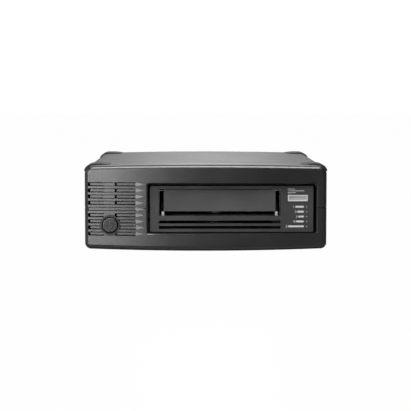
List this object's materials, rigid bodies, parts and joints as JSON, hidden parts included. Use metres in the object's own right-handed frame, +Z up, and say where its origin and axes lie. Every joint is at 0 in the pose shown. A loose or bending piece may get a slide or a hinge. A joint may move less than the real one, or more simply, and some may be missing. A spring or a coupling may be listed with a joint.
{
  "type": "external data tape drive",
  "caption": "Desktop tape drive: half-height drive with front-loading cartridge slot in a bowed two-piece case with louvred intake, power button, fan and mains supply.",
  "frame": {"origin": "on the table under the middle of the case", "axes": "+X to the right seen from the front, +Y to the back, +Z up"},
  "size_m": [0.219, 0.27, 0.0797],
  "materials": {
    "case_plastic": "charcoal fine-textured moulded ABS, satin",
    "pad_rubber": "moulded elastomer",
    "drive_plastic": "black moulded polycarbonate, satin",
    "button_plastic": "light grey, moulded, satin",
    "steel": "zinc-plated sheet steel",
    "screw_steel": "zinc-plated screw",
    "casting": "die-cast aluminium",
    "black_plastic": "moulded, fine texture",
    "board": "solder-masked glass-fibre board",
    "brass": "plain brass",
    "ceramic": "lapped ceramic",
    "ferrite": "sintered ferrite",
    "white_plastic": "acetal, natural",
    "light_pipe": "clear acrylic",
    "ribbon": "grey ribbon lead"
  },
  "bodies": {
    "case": {"case_screws": "screw_steel", "data_ribbon": "ribbon", "drive_base": "casting", "drive_bezel": "drive_plastic", "drive_board": "board", "drive_connector": "black_plastic", "drive_cover": "steel", "drive_rails": "steel", "eject_switch": "black_plastic", "fan_frame": "black_plastic", "fan_screws": "screw_steel", "front_board": "board", "front_lamps": "light_pipe", "head_base": "casting", "inlet_lead": "black_plastic", "inlet_pins": "brass", "inlet_screws": "screw_steel", "light_pipes": "light_pipe", "load_motor": "steel", "load_shaft": "screw_steel", "lower_shell": "case_plastic", "mains_inlet": "black_plastic", "port_board": "board", "port_brackets": "steel", "port_cages": "steel", "port_contacts": "black_plastic", "power_spring": "screw_steel", "power_switch": "black_plastic", "rail_screws": "screw_steel", "rear_panel": "steel", "roller_posts": "screw_steel", "rubber_feet": "pad_rubber", "stacking_pads": "pad_rubber", "supply_board": "board", "supply_capacitors": "black_plastic", "supply_choke": "ferrite", "supply_heatsinks": "casting", "supply_motor": "steel", "supply_screws": "screw_steel", "supply_transformer": "ferrite", "switch_board": "board", "take_up_motor": "steel", "upper_shell": "case_plastic"},
    "power_button": {"power_button": "case_plastic", "power_plunger": "white_plastic"},
    "fan": {"fan_rotor": "black_plastic"},
    "door": {"cartridge_door": "drive_plastic", "door_pins": "screw_steel"},
    "eject_button": {"eject_button": "button_plastic"},
    "carriage": {"cartridge_carriage": "black_plastic"},
    "load_gear": {"load_gear": "white_plastic"},
    "motor_pinion": {"motor_pinion": "brass"},
    "supply_chuck": {"supply_chuck": "steel"},
    "take_up_reel": {"take_up_reel": "white_plastic"},
    "guide_roller_1": {"guide_roller_1": "casting"},
    "guide_roller_2": {"guide_roller_2": "casting"},
    "guide_roller_3": {"guide_roller_3": "casting"},
    "guide_roller_4": {"guide_roller_4": "casting"},
    "head": {"head_carriage": "casting", "tape_head": "ceramic"}
  },
  "joints": [
    {"name": "power_button_press", "type": "slide", "parent": "case", "child": "power_button", "axis": [0, 1, 0], "range_m": [0, 0.002], "stiffness_N_per_m": 400, "springref_m": -0.002, "deforming": ["power_spring"]},
    {"name": "eject_button_press", "type": "slide", "parent": "case", "child": "eject_button", "axis": [0, 1, 0], "range_m": [0, 0.001], "stiffness_N_per_m": 400, "springref_m": -0.001},
    {"name": "door_hinge", "type": "hinge", "parent": "case", "child": "door", "pos_m": [0.0125, -0.1258, 0.0556], "axis": [1, 0, 0], "range_deg": [0, 90], "stiffness_Nm_per_rad": 0.002, "springref_deg": -20.05},
    {"name": "carriage_slide", "type": "slide", "parent": "case", "child": "carriage", "axis": [0, 1, 0], "range_m": [0, 0.012]},
    {"name": "load_gear_spin", "type": "hinge", "parent": "case", "child": "load_gear", "pos_m": [0.075, -0.06, 0.045], "axis": [0, 0, 1], "range_deg": [-108, 0]},
    {"name": "motor_pinion_spin", "type": "hinge", "parent": "case", "child": "motor_pinion", "pos_m": [0.08591, -0.0537, 0.052], "axis": [0, 0, 1], "range_deg": [0, 345]},
    {"name": "supply_chuck_spin", "type": "hinge", "parent": "case", "child": "supply_chuck", "pos_m": [0.0125, -0.0533, 0.028], "axis": [0, 0, 1], "continuous": true},
    {"name": "take_up_reel_spin", "type": "hinge", "parent": "case", "child": "take_up_reel", "pos_m": [0.0509, 0.0401, 0.04], "axis": [0, 0, 1], "continuous": true},
    {"name": "guide_roller_1_spin", "type": "hinge", "parent": "case", "child": "guide_roller_1", "pos_m": [-0.0283, 0.0111, 0.043], "axis": [0, 0, 1], "continuous": true},
    {"name": "guide_roller_2_spin", "type": "hinge", "parent": "case", "child": "guide_roller_2", "pos_m": [-0.0363, 0.0271, 0.043], "axis": [0, 0, 1], "continuous": true},
    {"name": "guide_roller_3_spin", "type": "hinge", "parent": "case", "child": "guide_roller_3", "pos_m": [-0.0363, 0.0551, 0.043], "axis": [0, 0, 1], "continuous": true},
    {"name": "guide_roller_4_spin", "type": "hinge", "parent": "case", "child": "guide_roller_4", "pos_m": [-0.0243, 0.0691, 0.043], "axis": [0, 0, 1], "continuous": true},
    {"name": "head_lift", "type": "slide", "parent": "case", "child": "head", "axis": [0, 0, 1], "range_m": [0, 0.003]},
    {"name": "fan_spin", "type": "hinge", "parent": "case", "child": "fan", "pos_m": [-0.058, 0.118, 0.0408], "axis": [0, 1, 0], "continuous": true}
  ],
  "couplings": [
    {"joint": "load_gear_spin", "follows": "carriage_slide", "rad_per_m": -156.25},
    {"joint": "motor_pinion_spin", "follows": "carriage_slide", "rad_per_m": 500}
  ]
}
